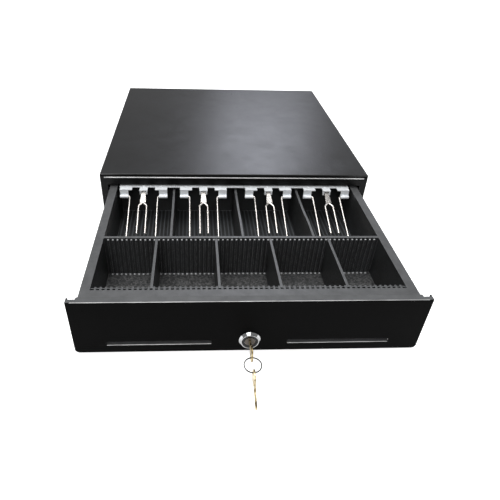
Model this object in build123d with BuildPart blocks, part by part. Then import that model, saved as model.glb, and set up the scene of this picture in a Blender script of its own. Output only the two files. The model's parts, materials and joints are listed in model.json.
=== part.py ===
from build123d import *
from math import asin, cos, radians, sin
import os

# A steel cash drawer, standing on four rubber feet with its drawer fully open.
# Millimetres, +Z up, +X to the right as seen from the front, +Y from the front to the back.
# The origin is on the floor, at the middle of the open drawer's footprint.

# ---- Housing
CASE_W = 405.0
CASE_D = 420.0
CASE_TOP = 100.0
CASE_BOTTOM = 8.0
CASE_FRONT = -37.5
CASE_BACK = CASE_FRONT + CASE_D
SHEET = 1.0
PLATE = 1.2
FIT = 0.2
BEND = 2.5
COVER_HEM = 10.0
COVER_IN = CASE_W / 2 - SHEET
CHASSIS_X = COVER_IN - FIT
CHASSIS_TOP = 60.0
BASE_TOP = CASE_BOTTOM + PLATE
FRAME_TOP = CASE_TOP - SHEET - 2.5
FRAME_RAIL = 83.0
FRAME_STILE = 11.0
FRAME_DEPTH = 12.0
FOOT_X = 170.0
FOOT_Y = 170.0
FOOT_R = 11.0
FIXING_X = 150.0
FIXING_Y = 125.0
FIXING_R = 3.25
CASE_MID = CASE_FRONT + CASE_D / 2
COVER_SCREW_Y = [CASE_FRONT + 60, CASE_MID, CASE_BACK - 60]
COVER_SCREW_Z = 50.0
REAR_SCREW_X = 180.0
REAR_SCREW_Z = [24.0, 84.0]

# ---- Drawer. DRAWER_FRONT is the drawer's front wall, which meets the housing's front when shut.
TRAVEL = 253.0
DRAWER_FRONT = CASE_FRONT - TRAVEL
DRAWER_W = 377.0
DRAWER_D = 315.0
DRAWER_FLOOR = 11.0
DRAWER_TOP = 76.8
PANEL_W = 400.0
PANEL_BOTTOM = 4.0
PANEL_TOP = 80.5
PANEL_DEPTH = 9.0
PANEL_FACE = DRAWER_FRONT - PANEL_DEPTH
PANEL_CORNER = 5.0
EAR_DEPTH = 5.5
FRONT_SCREWS = [(60.0, 62.0), (170.0, 45.0)]

# ---- Media slots in the drawer front
SLOT_IN = 43.0
SLOT_OUT = 164.0
SLOT_LOW = 15.5
SLOT_H = 5.0

# ---- Roller runners
CHANNEL_LOW = 30.0
CHANNEL_H = 20.0
CHANNEL_IN = 190.6
WEB_X = CHASSIS_X - PLATE
ROLLER_R = 7.0
ROLLER_W = 5.0
ROLLER_X = 194.2
ROLLER_PIN_R = 2.0
CASE_ROLLER_Y = CASE_FRONT + 16
CASE_ROLLER_Z = CHANNEL_LOW + 7.6
DRAWER_ROLLER_Y = CASE_FRONT + 55
DRAWER_ROLLER_Z = CHANNEL_LOW + CHANNEL_H - ROLLER_R - 0.1
LIP_LOW = CASE_ROLLER_Z + ROLLER_R + 0.1

# ---- Money tray
TRAY_TOP = 79.5
TRAY_BOTTOM = 20.5
TRAY_FLOOR = 22.5
WALL = 2.0
TRAY_IN = 177.5
TRAY_FRONT = DRAWER_FRONT + 12.5
TRAY_REAR = CASE_FRONT + 27
RIM = 2.5
PARTITION_Y = CASE_FRONT - 136.5
PARTITION_T = 4.0
SHELF_Y = CASE_FRONT + 10
RIB_PITCH = 5.83
RIB_W = 2.2
RIB_D = 1.5
FRONT_RIB_D = 6.5
COMB_D = 3.5
COMB_T = 1.0
COMB_H = 8.0
COMB_TOP = TRAY_TOP - 0.8
DIVIDER_T = 3.0
COIN_DIVIDERS = [-19 * RIB_PITCH, -6 * RIB_PITCH, 6 * RIB_PITCH, 19 * RIB_PITCH]
BILL_DIVIDERS = [-93.0, 0.0, 93.0]

# ---- Bill clips
CLIP_CENTRES = [-138.0, -49.0, 49.0, 138.0]
RAIL_X = 174.0
RAIL_T = 1.2
RAIL_Z = TRAY_TOP
RAIL_FRONT = CASE_FRONT - 3
RAIL_BACK = CASE_FRONT + 26
RAIL_SCREW_X = [-160.0, -93.5, 0.0, 93.5, 160.0]
RAIL_SCREW_Y = CASE_FRONT + 20
TAB_OUT = 35.0
TAB_UPPER = 18.0
TAB_LOWER = 12.3
TAB_MID = 12.0
BAIL_WIRE_R = 1.35
BAIL_ARM_X = 20.5
BAIL_Y = CASE_FRONT - 13
BAIL_Z = TRAY_TOP - 9.5
BAIL_REACH = 117.0
CLIP_SLOPE = radians(18.6)
KNUCKLE_R = 2.6
FORK_Y = CASE_FRONT - 12
FORK_Z = TRAY_TOP - 4
FORK_PIN_R = 1.0
FORK_WIRE_R = 1.3
FORK_HALF = 5.8
FORK_APEX = 19.5
FORK_TIP = 77.0
SLEEVE_TOP = 5.5
SLEEVE_END = 8.5

# ---- Lock and keys
LOCK_Z = 21.5
BEZEL_R = 12.5
BEZEL_T = 3.0
LOCK_R = 9.5
PLUG_R = 6.0
LOCK_TAIL = DRAWER_FRONT + 5
LOCK_FACE = PANEL_FACE - BEZEL_T
CAM_L = 16.0
CAM_T = 2.0
KEY_T = 2.0
KEY_SLOT = 2.3
BLADE_H = 7.0
BLADE_L = 20.0
BOW_R = 9.5
NECK = 4.0
KEY_OUT = 5.0
HOLE_R = 2.6
HOLE_OUT = 6.0
RING_R = 9.6
RING_WIRE_R = 0.7
RING_SLOPE = radians(6)

# ---- Release gear at the back of the housing
GEAR_Y = CASE_FRONT + DRAWER_D
LATCH_Z = 40.0
LATCH_T = 2.0
LATCH_PIVOT = (34.0, GEAR_Y + 30)
LATCH_PIN_R = 2.5
PLUNGER_R = 4.0
COIL_R = 12.0
PUSHER_X = -60.0
PUSHER_R = 4.0
SWITCH_X = 90.0
SOCKET_X = 130.0
SOCKET_Z = 30.0
LEAD_R = 1.6


def level(z):
    """A horizontal plane at height z."""
    return Plane.XY.offset(z)


def facing(y):
    """An upright plane at depth y whose normal points to the front: local x is +X, local y is +Z."""
    return Plane.XZ.offset(-y)


def side_on(x):
    """An upright plane at x whose normal is +X: local x is +Y, local y is +Z."""
    return Plane.YZ.offset(x)


def slab(x0, x1, y0, y1, z0, z1, mode=Mode.ADD):
    """A rectangular block between six limits, added to the sub-part being built."""
    with Locations(((x0 + x1) / 2, (y0 + y1) / 2, (z0 + z1) / 2)):
        Box(x1 - x0, y1 - y0, z1 - z0, mode=mode)


def rod(start, direction, length, radius, mode=Mode.ADD):
    """A round bar from start along direction, added to the sub-part being built."""
    with BuildSketch(Plane(origin=start, z_dir=direction)) as end:
        Circle(radius)
    extrude(end.sketch, amount=length, mode=mode)


def save(piece, name):
    """Labels a finished sub-part and writes it as one STEP file."""
    piece.part.label = name
    export_step(piece.part, f"parts/{name}.step")


os.makedirs("parts", exist_ok=True)

# ======== Housing ========

# Cover: one folded sheet over the top and both sides, hemmed round its front edge.
with BuildPart() as case_cover:
    cover_front = CASE_FRONT + 1
    skirt = CASE_BOTTOM + 0.5
    with BuildSketch(facing(cover_front)) as cover_outline:
        with Locations((0, (CASE_TOP + skirt) / 2)):
            Rectangle(CASE_W, CASE_TOP - skirt)
        fillet(cover_outline.vertices().group_by(Axis.Y)[-1], BEND)
        offset(amount=-SHEET, mode=Mode.SUBTRACT)
        with Locations((0, skirt + SHEET / 2)):
            Rectangle(CASE_W - 2 * SHEET, SHEET, mode=Mode.SUBTRACT)
    extrude(amount=-(CASE_D - 2))
    hem_low = CASE_TOP - SHEET - 1.2
    slab(-COVER_IN, COVER_IN, cover_front, cover_front + COVER_HEM, hem_low, CASE_TOP - SHEET)
    front_edges = case_cover.edges().group_by(Axis.Y)[0].filter_by(Axis.X)
    fillet(front_edges.group_by(Axis.Z)[-1], 0.9)
    for side in (-1, 1):
        for y in COVER_SCREW_Y:
            rod((side * (COVER_IN - 3), y, COVER_SCREW_Z), (side, 0, 0), 8, 2.1, mode=Mode.SUBTRACT)
save(case_cover, "case_cover")

# Chassis: the base with two upright sides, which carry the runners and the cover.
with BuildPart() as chassis:
    chassis_front = CASE_FRONT + PLATE + FIT
    chassis_back = CASE_BACK - PLATE - FIT
    slab(-CHASSIS_X, CHASSIS_X, chassis_front, chassis_back, CASE_BOTTOM, BASE_TOP)
    slab(-CHASSIS_X, -WEB_X, chassis_front, chassis_back, BASE_TOP, CHASSIS_TOP)
    slab(WEB_X, CHASSIS_X, chassis_front, chassis_back, BASE_TOP, CHASSIS_TOP)
    cam_path = CASE_FRONT + LOCK_TAIL - DRAWER_FRONT
    slab(-11, 11, cam_path - 1, cam_path + 4, CASE_BOTTOM - 1, BASE_TOP + 1, mode=Mode.SUBTRACT)
    with BuildSketch(level(CASE_BOTTOM - 1)):
        with Locations((0, CASE_MID)):
            with GridLocations(2 * FIXING_X, 2 * FIXING_Y, 2, 2):
                Circle(FIXING_R)
            with GridLocations(2 * FOOT_X, 2 * FOOT_Y, 2, 2):
                Circle(2.1)
    extrude(amount=PLATE + 2, mode=Mode.SUBTRACT)
    for side in (-1, 1):
        for y in COVER_SCREW_Y:
            rod((side * (WEB_X - 3), y, COVER_SCREW_Z), (side, 0, 0), 8, 1.6, mode=Mode.SUBTRACT)
        rod((side * (WEB_X - 3), CASE_ROLLER_Y, CASE_ROLLER_Z), (side, 0, 0), 8, 1.52, mode=Mode.SUBTRACT)
save(chassis, "chassis")

# Front frame: the face round the drawer opening, with a flange folded back under the cover.
with BuildPart() as front_frame:
    frame_low = BASE_TOP + FIT
    with BuildSketch(facing(CASE_FRONT)):
        with Locations((0, (FRAME_TOP + frame_low) / 2)):
            Rectangle(2 * COVER_IN - 2 * FIT, FRAME_TOP - frame_low)
        with Locations((0, (FRAME_RAIL + frame_low) / 2 - 1)):
            Rectangle(CASE_W - 2 * FRAME_STILE, FRAME_RAIL - frame_low + 2, mode=Mode.SUBTRACT)
        with Locations((0, CHANNEL_LOW + CHANNEL_H / 2 + 2)):
            Rectangle(2 * ROLLER_X + 7, CHANNEL_H - 4, mode=Mode.SUBTRACT)
    extrude(amount=-PLATE)
    frame_back = CASE_FRONT + FRAME_DEPTH
    slab(-COVER_IN + FIT, COVER_IN - FIT, CASE_FRONT, frame_back, FRAME_TOP - PLATE, FRAME_TOP)
    slab(-185, 185, CASE_FRONT, CASE_FRONT + 8, FRAME_RAIL, FRAME_RAIL + PLATE)
    fillet(front_frame.edges().group_by(Axis.Y)[0].filter_by(Axis.X).group_by(Axis.Z)[-1], 0.9)
save(front_frame, "front_frame")

# Rear panel with the opening for the modular socket.
with BuildPart() as rear_panel:
    panel_back = CASE_BACK - 0.2
    with BuildSketch(facing(panel_back - PLATE)) as rear_outline:
        with Locations((0, (CASE_TOP - SHEET - FIT + CASE_BOTTOM) / 2)):
            Rectangle(2 * (COVER_IN - FIT), CASE_TOP - SHEET - FIT - CASE_BOTTOM)
        fillet(rear_outline.vertices().group_by(Axis.Y)[-1], BEND)
        with Locations((SOCKET_X, SOCKET_Z)):
            Rectangle(14.4, 13.4, mode=Mode.SUBTRACT)
        with Locations((0, (REAR_SCREW_Z[0] + REAR_SCREW_Z[1]) / 2)):
            with GridLocations(2 * REAR_SCREW_X, REAR_SCREW_Z[1] - REAR_SCREW_Z[0], 2, 2):
                Circle(1.6, mode=Mode.SUBTRACT)
    extrude(amount=-PLATE)
save(rear_panel, "rear_panel")

# Runner channels, one fixed inside each side of the chassis.
with BuildPart() as case_rails:
    for side in (-1, 1):
        channel_front = CASE_FRONT + 4
        channel_back = CASE_FRONT + 318
        with BuildSketch(facing(channel_front)):
            outer_x = WEB_X - 0.1
            with Locations((side * (outer_x + CHANNEL_IN) / 2, CHANNEL_LOW + CHANNEL_H / 2)):
                Rectangle(outer_x - CHANNEL_IN, CHANNEL_H + 2 * PLATE)
            with Locations((side * (outer_x - PLATE + CHANNEL_IN - 2) / 2, CHANNEL_LOW + CHANNEL_H / 2)):
                Rectangle(outer_x - PLATE - CHANNEL_IN + 2, CHANNEL_H, mode=Mode.SUBTRACT)
        extrude(amount=-(channel_back - channel_front))
        pin_start = (side * (WEB_X - 4), CASE_ROLLER_Y, CASE_ROLLER_Z)
        rod(pin_start, (side, 0, 0), 4, 2.1, mode=Mode.SUBTRACT)
save(case_rails, "case_rails")

# Fixed pins of the two front rollers, riveted into the chassis sides.
with BuildPart() as case_roller_pins:
    for side in (-1, 1):
        tip = (side * (ROLLER_X - ROLLER_W / 2 - 1.2), CASE_ROLLER_Y, CASE_ROLLER_Z)
        rod(tip, (side, 0, 0), WEB_X - 0.05 - ROLLER_X + ROLLER_W / 2 + 1.2, ROLLER_PIN_R)
        rod(tip, (side, 0, 0), 1.0, 3.4)
        root = (side * (WEB_X - 0.05), CASE_ROLLER_Y, CASE_ROLLER_Z)
        rod(root, (side, 0, 0), PLATE, 1.5)
save(case_roller_pins, "case_roller_pins")


def roller(name, side, y, z):
    """A nylon runner wheel on the pin at (y, z), rounded at both rims."""
    with BuildPart() as wheel:
        rod((side * (ROLLER_X - ROLLER_W / 2), y, z), (side, 0, 0), ROLLER_W, ROLLER_R)
        chamfer(wheel.edges().filter_by(GeomType.CIRCLE), 0.5)
        rod((side * (ROLLER_X - 4), y, z), (side, 0, 0), 8, ROLLER_PIN_R + 0.05, mode=Mode.SUBTRACT)
    save(wheel, name)


roller("case_roller_left", -1, CASE_ROLLER_Y, CASE_ROLLER_Z)
roller("case_roller_right", 1, CASE_ROLLER_Y, CASE_ROLLER_Z)
roller("drawer_roller_left", -1, DRAWER_ROLLER_Y, DRAWER_ROLLER_Z)
roller("drawer_roller_right", 1, DRAWER_ROLLER_Y, DRAWER_ROLLER_Z)

# Rubber feet, each held by one screw whose head is sunk into the rubber.
with BuildPart() as rubber_feet:
    with BuildSketch(level(0)):
        with Locations((0, CASE_MID)):
            with GridLocations(2 * FOOT_X, 2 * FOOT_Y, 2, 2):
                Circle(FOOT_R)
    extrude(amount=CASE_BOTTOM, taper=4)
    with Locations((0, CASE_MID, 0)):
        with GridLocations(2 * FOOT_X, 2 * FOOT_Y, 2, 2):
            with Locations(Location((0, 0, 0), (180, 0, 0))):
                CounterBoreHole(2.1, 4.3, 4, CASE_BOTTOM)
save(rubber_feet, "rubber_feet")

with BuildPart() as foot_screws:
    for x in (-FOOT_X, FOOT_X):
        for y in (CASE_MID - FOOT_Y, CASE_MID + FOOT_Y):
            rod((x, y, 1.6), (0, 0, 1), 2.4, 4.0)
            rod((x, y, 4.0), (0, 0, 1), 6.5, 2.0)
save(foot_screws, "foot_screws")

with BuildPart() as cover_screws:
    for side in (-1, 1):
        for y in COVER_SCREW_Y:
            rod((side * CASE_W / 2, y, COVER_SCREW_Z), (side, 0, 0), 1.4, 3.2)
            shank_start = (side * (WEB_X + 0.1), y, COVER_SCREW_Z)
            rod(shank_start, (side, 0, 0), CASE_W / 2 - WEB_X - 0.1, 1.5)
    chamfer(cover_screws.faces().group_by(Axis.X)[0].edges(), 0.4)
    chamfer(cover_screws.faces().group_by(Axis.X)[-1].edges(), 0.4)
save(cover_screws, "cover_screws")

with BuildPart() as rear_screws:
    for x in (-REAR_SCREW_X, REAR_SCREW_X):
        for z in REAR_SCREW_Z:
            rod((x, panel_back, z), (0, 1, 0), 1.4, 3.0)
            rod((x, panel_back - 6, z), (0, 1, 0), 6, 1.5)
save(rear_screws, "rear_screws")

# ======== Drawer ========

# Drawer pan: floor and four walls.
with BuildPart() as drawer_pan:
    half = DRAWER_W / 2
    drawer_back = DRAWER_FRONT + DRAWER_D
    slab(-half, half, DRAWER_FRONT, drawer_back, DRAWER_FLOOR, DRAWER_TOP)
    slab(
        -half + SHEET,
        half - SHEET,
        DRAWER_FRONT + SHEET,
        drawer_back - SHEET,
        DRAWER_FLOOR + SHEET,
        DRAWER_TOP + 1,
        mode=Mode.SUBTRACT,
    )
    for side in (-1, 1):
        low, high = sorted((side * (SLOT_IN - 2), side * (SLOT_OUT + 2)))
        slot_back = DRAWER_FRONT + SHEET + 1
        slot_top = SLOT_LOW + SLOT_H + 1
        slab(low, high, DRAWER_FRONT - 1, slot_back, SLOT_LOW - 2, slot_top, mode=Mode.SUBTRACT)
        pin_at = (side * (half - 3), DRAWER_ROLLER_Y, DRAWER_ROLLER_Z)
        rod(pin_at, (side, 0, 0), 6, 1.52, mode=Mode.SUBTRACT)
        for x, z in FRONT_SCREWS:
            rod((side * x, DRAWER_FRONT - 1, z), (0, 1, 0), 4, 1.6, mode=Mode.SUBTRACT)
    rod((0, DRAWER_FRONT - 1, LOCK_Z), (0, 1, 0), 4, LOCK_R + 0.1, mode=Mode.SUBTRACT)
    cam_gap_top = DRAWER_FLOOR + SHEET + 1
    slab(-14, 14, LOCK_TAIL - 1, LOCK_TAIL + 4, DRAWER_FLOOR - 1, cam_gap_top, mode=Mode.SUBTRACT)
save(drawer_pan, "drawer_pan")

# Drawer front: a shallow tray of sheet, open at its back, wider than the drawer.
with BuildPart() as drawer_front:
    panel_mid = (PANEL_TOP + PANEL_BOTTOM) / 2
    panel_h = PANEL_TOP - PANEL_BOTTOM
    with BuildSketch(facing(PANEL_FACE)) as panel_outline:
        with Locations((0, panel_mid)):
            Rectangle(PANEL_W, panel_h)
        fillet(panel_outline.vertices().group_by(Axis.Y)[0], PANEL_CORNER)
    extrude(amount=-(PANEL_DEPTH - 0.1))
    with BuildSketch(facing(PANEL_FACE + PLATE)) as hollow:
        with Locations((0, panel_mid)):
            Rectangle(PANEL_W - 2 * PLATE, panel_h - 2 * PLATE)
        fillet(hollow.vertices().group_by(Axis.Y)[0], PANEL_CORNER - PLATE)
    extrude(amount=-PANEL_DEPTH, mode=Mode.SUBTRACT)
    for side in (-1, 1):
        low, high = sorted((side * (DRAWER_W / 2 + 1.5), side * (PANEL_W / 2 - PLATE)))
        ear_back = DRAWER_FRONT + 1
        slab(low, high, PANEL_FACE + EAR_DEPTH, ear_back, PANEL_TOP - 2, PANEL_TOP + 1, mode=Mode.SUBTRACT)
        for x, z in FRONT_SCREWS:
            rod((side * x, PANEL_FACE + PLATE - 0.1, z), (0, 1, 0), PANEL_DEPTH - PLATE, 4.0)
            rod((side * x, PANEL_FACE + PLATE + 1, z), (0, 1, 0), 8, 1.55, mode=Mode.SUBTRACT)
        low, high = sorted((side * SLOT_IN, side * SLOT_OUT))
        with BuildSketch(facing(PANEL_FACE - 1)):
            with Locations(((low + high) / 2, SLOT_LOW + SLOT_H / 2)):
                SlotOverall(high - low, SLOT_H)
        extrude(amount=-(PLATE + 2), mode=Mode.SUBTRACT)
    rod((0, PANEL_FACE - 1, LOCK_Z), (0, 1, 0), 4, LOCK_R + 0.1, mode=Mode.SUBTRACT)
    fillet(drawer_front.edges().group_by(Axis.Y)[0].filter_by(Axis.X).group_by(Axis.Z)[-1], 0.8)
save(drawer_front, "drawer_front")

with BuildPart() as front_screws:
    for side in (-1, 1):
        for x, z in FRONT_SCREWS:
            rod((side * x, DRAWER_FRONT + SHEET, z), (0, 1, 0), 1.8, 3.2)
            shank_start = (side * x, PANEL_FACE + PLATE + 2, z)
            rod(shank_start, (0, 1, 0), PANEL_DEPTH + SHEET - PLATE - 2, 1.5)
save(front_screws, "front_screws")

# Chutes behind the media slots, which lead flat papers under the money tray.
with BuildPart() as slot_chutes:
    for side in (-1, 1):
        low, high = sorted((side * (SLOT_IN - 1), side * (SLOT_OUT + 1)))
        chute_front = PANEL_FACE + PLATE
        slab(low, high, chute_front, DRAWER_FRONT + 6, SLOT_LOW - 1.2, SLOT_LOW - 0.2)
save(slot_chutes, "slot_chutes")

# Drawer runners: an angle on each side whose lip rolls on the housing's front roller.
with BuildPart() as drawer_rails:
    for side in (-1, 1):
        rail_x = DRAWER_W / 2 + 0.1
        rail_end = DRAWER_ROLLER_Y - ROLLER_R - 2
        low, high = sorted((side * rail_x, side * (rail_x + PLATE)))
        slab(low, high, DRAWER_FRONT + 8, rail_end, 34, LIP_LOW + PLATE)
        low, high = sorted((side * rail_x, side * (ROLLER_X + 2.4)))
        slab(low, high, DRAWER_FRONT + 8, rail_end, LIP_LOW, LIP_LOW + PLATE)
        low, high = sorted((side * (rail_x + PLATE), side * (ROLLER_X + 2.4)))
        stop_y = CASE_ROLLER_Y + ROLLER_R + 0.3
        slab(low, high, stop_y, stop_y + PLATE, CASE_ROLLER_Z - 2, LIP_LOW)
save(drawer_rails, "drawer_rails")

with BuildPart() as drawer_roller_pins:
    for side in (-1, 1):
        start = (side * (DRAWER_W / 2 + 0.05), DRAWER_ROLLER_Y, DRAWER_ROLLER_Z)
        rod(start, (side, 0, 0), ROLLER_X + ROLLER_W / 2 + 1.0 - DRAWER_W / 2, ROLLER_PIN_R)
        cap = (side * (ROLLER_X + ROLLER_W / 2 + 0.2), DRAWER_ROLLER_Y, DRAWER_ROLLER_Z)
        rod(cap, (side, 0, 0), 0.9, 3.2)
        root = (side * (DRAWER_W / 2 - SHEET), DRAWER_ROLLER_Y, DRAWER_ROLLER_Z)
        rod(root, (side, 0, 0), SHEET + 0.1, 1.5)
save(drawer_roller_pins, "drawer_roller_pins")

# Striker: the hooked tongue behind the drawer that the latch lever holds.
with BuildPart() as striker:
    striker_root = DRAWER_FRONT + DRAWER_D
    slab(-20, 20, striker_root, striker_root + 1.5, 30, 56)
    with BuildSketch(level(LATCH_Z)):
        with BuildLine():
            Polyline(
                (-8, striker_root + 1),
                (4, striker_root + 1),
                (4, striker_root + 10),
                (9, striker_root + 10),
                (9, striker_root + 13),
                (0, striker_root + 22),
                (-8, striker_root + 22),
                close=True,
            )
        make_face()
    extrude(amount=LATCH_T)
save(striker, "striker")

# ======== Lock ========

with BuildPart() as lock_body:
    with BuildSketch(side_on(0)):
        with BuildLine():
            bore_z = LOCK_Z + PLUG_R + 0.05
            Polyline(
                (LOCK_FACE, bore_z),
                (LOCK_FACE, LOCK_Z + BEZEL_R - 2.5),
                (PANEL_FACE - 0.8, LOCK_Z + BEZEL_R),
                (PANEL_FACE, LOCK_Z + BEZEL_R),
                (PANEL_FACE, LOCK_Z + LOCK_R),
                (LOCK_TAIL, LOCK_Z + LOCK_R),
                (LOCK_TAIL, bore_z),
                close=True,
            )
        make_face()
    revolve(axis=Axis((0, 0, LOCK_Z), (0, 1, 0)))
save(lock_body, "lock_body")

with BuildPart() as lock_nut:
    with BuildSketch(facing(DRAWER_FRONT + SHEET)):
        with Locations((0, LOCK_Z)):
            RegularPolygon(12.2, 6, major_radius=False, rotation=30)
            Circle(LOCK_R + 0.05, mode=Mode.SUBTRACT)
        with Locations((0, LOCK_Z - 14)):
            Rectangle(40, 9.2, mode=Mode.SUBTRACT)
    extrude(amount=-3)
save(lock_nut, "lock_nut")

# Plug: turns in the lock body; its square tail carries the cam.
with BuildPart() as lock_plug:
    rod((0, LOCK_FACE - 0.4, LOCK_Z), (0, 1, 0), LOCK_TAIL + 0.4 - LOCK_FACE + 0.4, PLUG_R)
    slab(-3, 3, LOCK_TAIL, LOCK_TAIL + 0.5 + CAM_T + 0.2, LOCK_Z - 3, LOCK_Z + 3)
    rod((0, LOCK_TAIL + CAM_T + 0.6, LOCK_Z), (0, 1, 0), 1.4, 4.4)
    slot_half = BLADE_H / 2 + 0.15
    slab(
        -KEY_SLOT / 2,
        KEY_SLOT / 2,
        LOCK_FACE - 1,
        LOCK_FACE + BLADE_L - 4,
        LOCK_Z - slot_half,
        LOCK_Z + slot_half,
        mode=Mode.SUBTRACT,
    )
save(lock_plug, "lock_plug")

# Cam: points sideways at rest, down through the floor to lock, up for opening by hand.
with BuildPart() as lock_cam:
    with BuildSketch(facing(LOCK_TAIL + 0.45)):
        with Locations((0, LOCK_Z)):
            Circle(6)
        with Locations((CAM_L / 2, LOCK_Z)):
            Rectangle(CAM_L, 7)
        with Locations((0, LOCK_Z)):
            Rectangle(6.1, 6.1, mode=Mode.SUBTRACT)
    extrude(amount=-CAM_T)
save(lock_cam, "lock_cam")


def key_outline(blade):
    """A key's face, with its ring hole at the local origin and its blade along local +x."""
    bow_centre = HOLE_OUT
    with Locations((bow_centre, 0)):
        Circle(BOW_R)
    shoulder = bow_centre + BOW_R + NECK
    with Locations(((bow_centre + shoulder) / 2, 0)):
        Rectangle(shoulder - bow_centre, BLADE_H + 2)
    with Locations((shoulder + blade / 2 - 0.5, 0)):
        Rectangle(blade + 1, BLADE_H)
    for i in range(5):
        with Locations((shoulder + blade * (i + 1.2) / 6, BLADE_H / 2)):
            RegularPolygon(1.0 + 0.5 * (i % 2), 4, mode=Mode.SUBTRACT)
    Circle(HOLE_R, mode=Mode.SUBTRACT)


def key_solid(name, hole, slope, blade):
    """A flat key in the upright plane x = 0 whose blade leaves the ring hole at this slope."""
    along = (0, cos(slope), sin(slope))
    with BuildPart() as key_piece:
        with BuildSketch(Plane(origin=(-KEY_T / 2, hole[0], hole[1]), x_dir=along, z_dir=(1, 0, 0))):
            key_outline(blade)
        extrude(amount=KEY_T)
    save(key_piece, name)


# The first key sits in the plug, its blade level and its shoulder clear of the bezel. The ring
# lies forward from it, and the second key leans from the ring to the floor on its blade tip.
KEY_HOLE_Y = LOCK_FACE - KEY_OUT - NECK - BOW_R - HOLE_OUT
RING_FAR_Y = KEY_HOLE_Y - 2 * RING_R * cos(RING_SLOPE)
RING_FAR_Z = LOCK_Z - 2 * RING_R * sin(RING_SLOPE)
KEY_LENGTH = HOLE_OUT + BOW_R + NECK + BLADE_L
KEY_LEAN = asin((RING_FAR_Z - BLADE_H / 2 - 0.35) / KEY_LENGTH)
key_solid("key", (KEY_HOLE_Y, LOCK_Z), 0, BLADE_L)
key_solid("second_key", (RING_FAR_Y, RING_FAR_Z), radians(180) + KEY_LEAN, BLADE_L)

with BuildPart() as key_ring:
    ring_y = KEY_HOLE_Y - RING_R * cos(RING_SLOPE)
    ring_z = LOCK_Z - RING_R * sin(RING_SLOPE)
    ring_normal = (0, -sin(RING_SLOPE), cos(RING_SLOPE))
    with Locations(Plane(origin=(0, ring_y, ring_z), z_dir=ring_normal)):
        Torus(RING_R, RING_WIRE_R)
save(key_ring, "key_ring")

# ======== Money tray ========

# Tray: upright ribs on the front wall and the partition hold the coin dividers at any pitch. A
# strip across the front ribs leaves a row of small square pockets along the rim.
with BuildPart() as money_tray:
    outer = TRAY_IN + WALL
    slab(-outer, outer, TRAY_FRONT - WALL, TRAY_REAR + WALL, TRAY_BOTTOM, TRAY_TOP)
    rim_x = DRAWER_W / 2 - 0.2
    slab(-rim_x, rim_x, DRAWER_FRONT + 0.4, TRAY_REAR + 6, TRAY_TOP - RIM, TRAY_TOP)
    coin_back = PARTITION_Y - PARTITION_T / 2
    bill_front = PARTITION_Y + PARTITION_T / 2
    slab(-TRAY_IN, TRAY_IN, TRAY_FRONT, coin_back, TRAY_FLOOR, TRAY_TOP + 1, mode=Mode.SUBTRACT)
    slab(-TRAY_IN, TRAY_IN, bill_front, SHELF_Y, TRAY_FLOOR, TRAY_TOP + 1, mode=Mode.SUBTRACT)
    slab(-TRAY_IN, TRAY_IN, SHELF_Y - 1, TRAY_REAR, TRAY_FLOOR, TRAY_TOP - RIM, mode=Mode.SUBTRACT)
    ribs = 2 * int(TRAY_IN / RIB_PITCH)
    with BuildSketch(level(TRAY_FLOOR - 0.5)):
        with Locations((0, coin_back - RIB_D / 2 + 0.25)):
            with GridLocations(RIB_PITCH, 1, ribs, 1):
                Rectangle(RIB_W, RIB_D + 0.5)
    extrude(amount=TRAY_TOP - 2 - TRAY_FLOOR)
    with BuildSketch(level(TRAY_FLOOR - 0.5)):
        with Locations((0, TRAY_FRONT + FRONT_RIB_D / 2 - 0.25)):
            with GridLocations(RIB_PITCH, 1, ribs, 1):
                Rectangle(RIB_W, FRONT_RIB_D + 0.5)
    extrude(amount=COMB_TOP - TRAY_FLOOR + 0.5)
    comb_y = TRAY_FRONT + COMB_D
    slab(-TRAY_IN - 0.5, TRAY_IN + 0.5, comb_y, comb_y + COMB_T, COMB_TOP - COMB_H, COMB_TOP)
save(money_tray, "money_tray")

for number, x in enumerate(COIN_DIVIDERS, start=1):
    with BuildPart() as coin_divider:
        low_y = comb_y + COMB_T + 0.3
        high_y = coin_back - 0.3
        slab(x - DIVIDER_T / 2, x + DIVIDER_T / 2, low_y, high_y, TRAY_FLOOR + 0.1, TRAY_TOP - 1)
    save(coin_divider, f"coin_divider_{number}")

# Bill dividers: level at the partition, dipping a little under the bill clips.
with BuildPart() as bill_dividers:
    high_z = TRAY_TOP - 1
    low_z = TRAY_TOP - 4
    front_y = bill_front + 0.2
    back_y = TRAY_REAR - 0.3
    dip_start = front_y + 30
    dip_end = front_y + 80
    for x in BILL_DIVIDERS:
        with BuildSketch(side_on(x - DIVIDER_T / 2)):
            with BuildLine():
                Polyline(
                    (dip_start, high_z),
                    (front_y, high_z),
                    (front_y, TRAY_FLOOR + 0.1),
                    (back_y, TRAY_FLOOR + 0.1),
                    (back_y, low_z),
                    (dip_end, low_z),
                )
                Spline(
                    (dip_end, low_z),
                    (dip_start, high_z),
                    tangents=((-1, 0), (-1, 0)),
                )
            make_face()
        extrude(amount=DIVIDER_T)
save(bill_dividers, "bill_dividers")

# ======== Bill clips ========

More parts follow.
